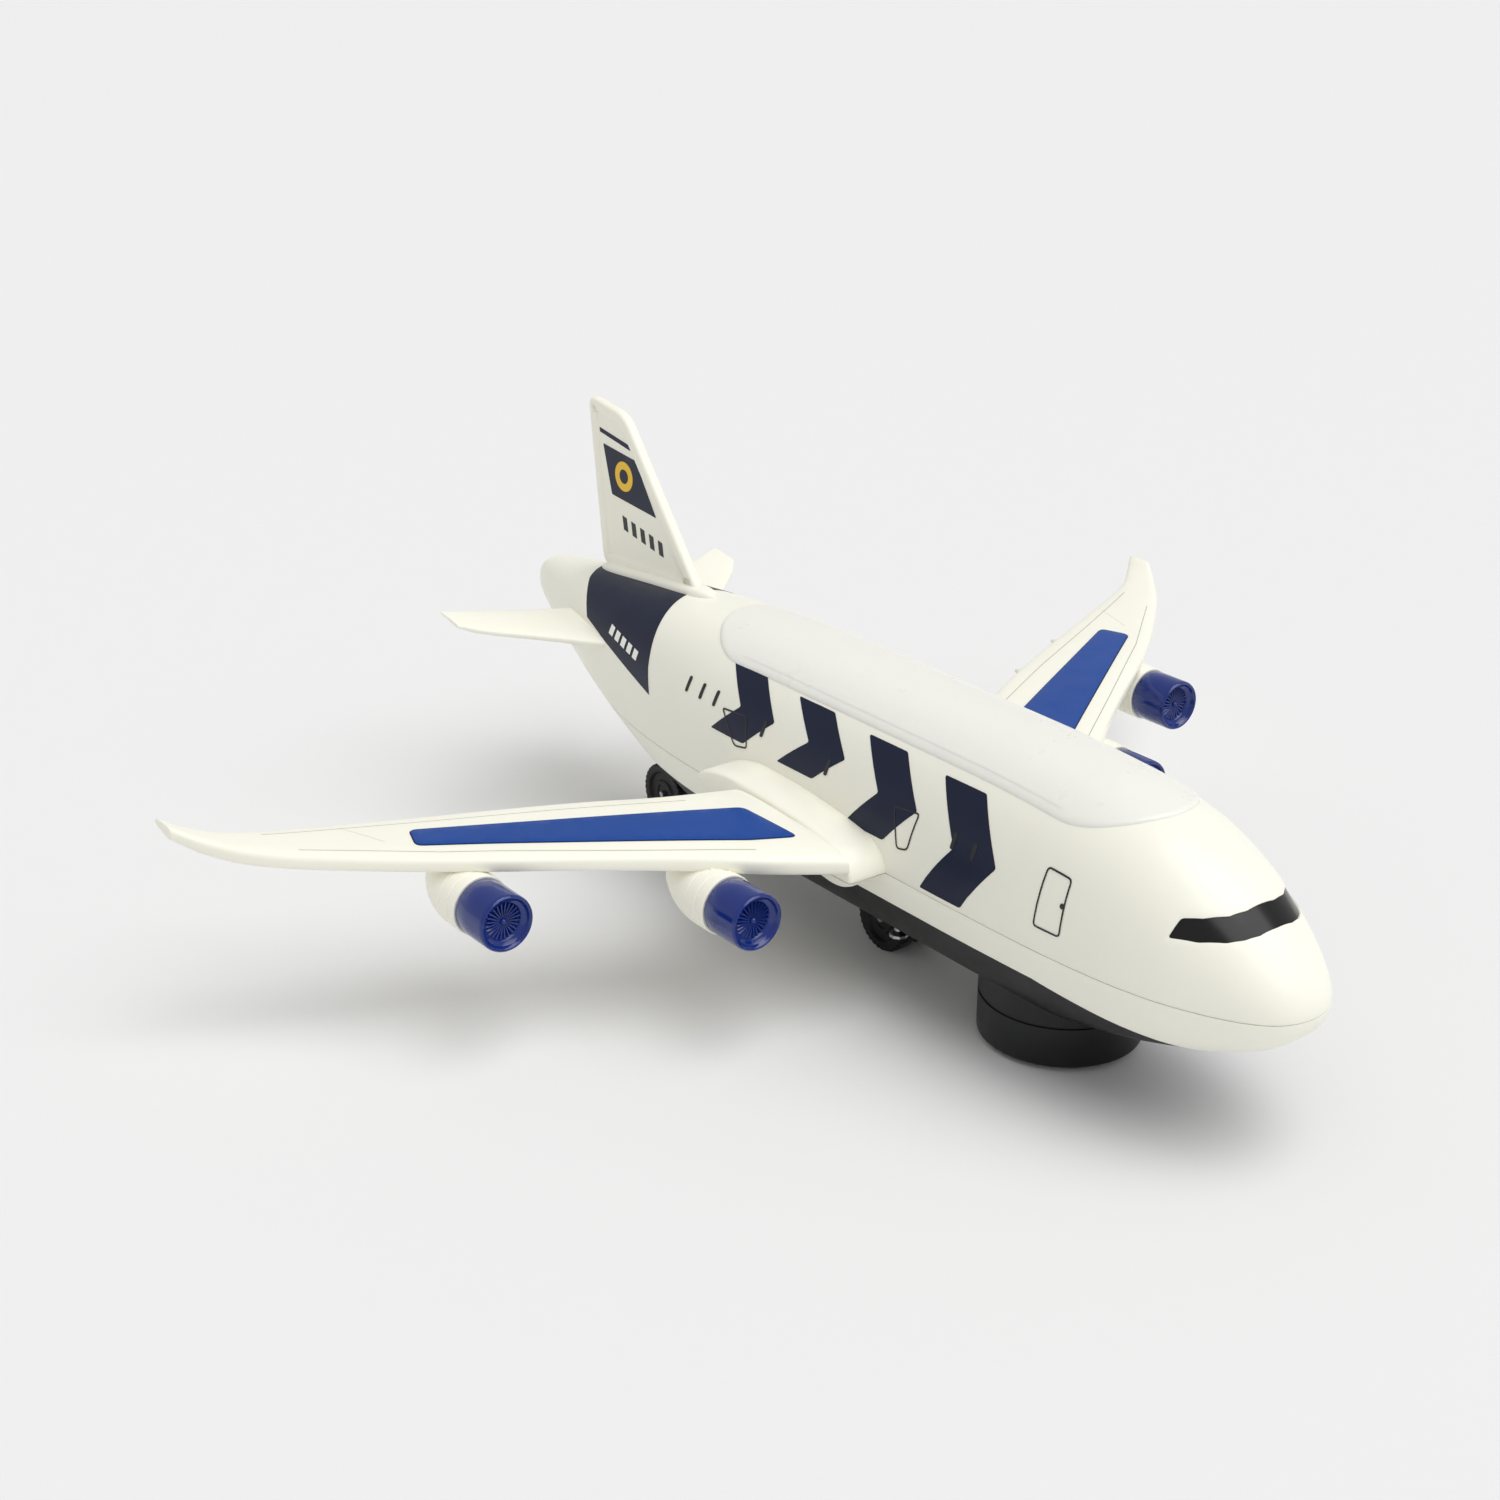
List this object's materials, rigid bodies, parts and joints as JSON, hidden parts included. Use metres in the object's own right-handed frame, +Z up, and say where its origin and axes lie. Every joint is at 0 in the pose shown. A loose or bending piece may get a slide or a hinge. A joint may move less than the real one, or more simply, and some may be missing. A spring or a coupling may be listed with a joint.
{
  "type": "toy airplane",
  "caption": "Battery toy jumbo jet: hollow two-part fuselage, plug-in wings with engine pods, tail, and a swivelling drive drum under the nose with trailing wheel pairs.",
  "frame": {"origin": "centre of the whole object's box in plan, on the ground that the wheels stand on", "axes": "+Y from the nose to the tail, +X to the port wing tip, +Z up"},
  "size_m": [0.398, 0.36, 0.1423],
  "materials": {
    "cream": "satin",
    "gloss_black": "gloss",
    "translucent": "satin",
    "black": "satin",
    "steel": "brushed",
    "cell": "gloss",
    "grey": "satin",
    "rubber": "matte",
    "nylon": "satin",
    "wing_blue": "satin",
    "cap_blue": "gloss",
    "board": "satin",
    "lamp": "gloss"
  },
  "bodies": {
    "airframe": {"fuselage_upper_shell": "cream", "cockpit_window": "gloss_black", "roof_light_cover": "translucent", "fuselage_lower_shell": "cream", "belly_chassis": "black", "chassis_screw_1": "steel", "chassis_screw_2": "steel", "chassis_screw_3": "steel", "chassis_screw_4": "steel", "battery_door": "black", "battery_door_screw": "steel", "battery_cell_1": "cell", "battery_cell_2": "cell", "battery_cell_3": "cell", "battery_contact_front": "steel", "battery_contact_rear": "steel", "power_switch_body": "steel", "wing_left": "cream", "wing_right": "cream", "wing_panel_left": "wing_blue", "wing_panel_right": "wing_blue", "engine_inner_cap_left": "cap_blue", "engine_inner_cap_right": "cap_blue", "engine_inner_nacelle_left": "cream", "engine_inner_nacelle_right": "cream", "engine_outer_cap_left": "cap_blue", "engine_outer_cap_right": "cap_blue", "engine_outer_nacelle_left": "cream", "engine_outer_nacelle_right": "cream", "tail_fin": "cream", "stabiliser_left": "cream", "stabiliser_right": "cream", "circuit_board": "board", "roof_lamp_front": "lamp", "roof_lamp_rear": "lamp", "speaker": "grey"},
    "power_switch": {"power_switch_knob": "grey"},
    "drive_unit": {"gearbox_turntable": "black", "motor": "steel", "motor_clamp": "black"},
    "drive_wheels": {"drive_axle": "steel", "drive_wheel_left": "rubber", "drive_wheel_right": "rubber", "drive_axle_gear": "nylon"},
    "idler": {"idler_gear": "nylon"},
    "pinion": {"motor_pinion": "steel"},
    "mid_roller": {"mid_roller_axle": "steel", "mid_roller_wheel_left": "black", "mid_roller_wheel_right": "black"},
    "rear_roller": {"rear_roller_axle": "steel", "rear_roller_wheel_left": "black", "rear_roller_wheel_right": "black"}
  },
  "joints": [
    {"name": "drive_unit_swivel", "type": "hinge", "parent": "airframe", "child": "drive_unit", "pos_m": [0, -0.09, 0], "axis": [0, 0, 1], "continuous": true},
    {"name": "drive_wheel_spin", "type": "hinge", "parent": "drive_unit", "child": "drive_wheels", "pos_m": [0, -0.09, 0.009], "axis": [1, 0, 0], "continuous": true},
    {"name": "idler_spin", "type": "hinge", "parent": "drive_unit", "child": "idler", "pos_m": [0, -0.09, 0.02], "axis": [1, 0, 0], "continuous": true},
    {"name": "pinion_spin", "type": "hinge", "parent": "drive_unit", "child": "pinion", "pos_m": [0, -0.09, 0.0322], "axis": [1, 0, 0], "continuous": true},
    {"name": "mid_roller_spin", "type": "hinge", "parent": "airframe", "child": "mid_roller", "pos_m": [0, -0.0195, 0.0108], "axis": [1, 0, 0], "continuous": true},
    {"name": "rear_roller_spin", "type": "hinge", "parent": "airframe", "child": "rear_roller", "pos_m": [0, 0.099, 0.0108], "axis": [1, 0, 0], "continuous": true},
    {"name": "power_switch_slide", "type": "slide", "parent": "airframe", "child": "power_switch", "axis": [0, 1, 0], "range_m": [0, 0.005]}
  ],
  "couplings": [
    {"joint": "idler_spin", "follows": "drive_wheel_spin", "ratio": -1.7},
    {"joint": "pinion_spin", "follows": "drive_wheel_spin", "ratio": 4.675}
  ]
}
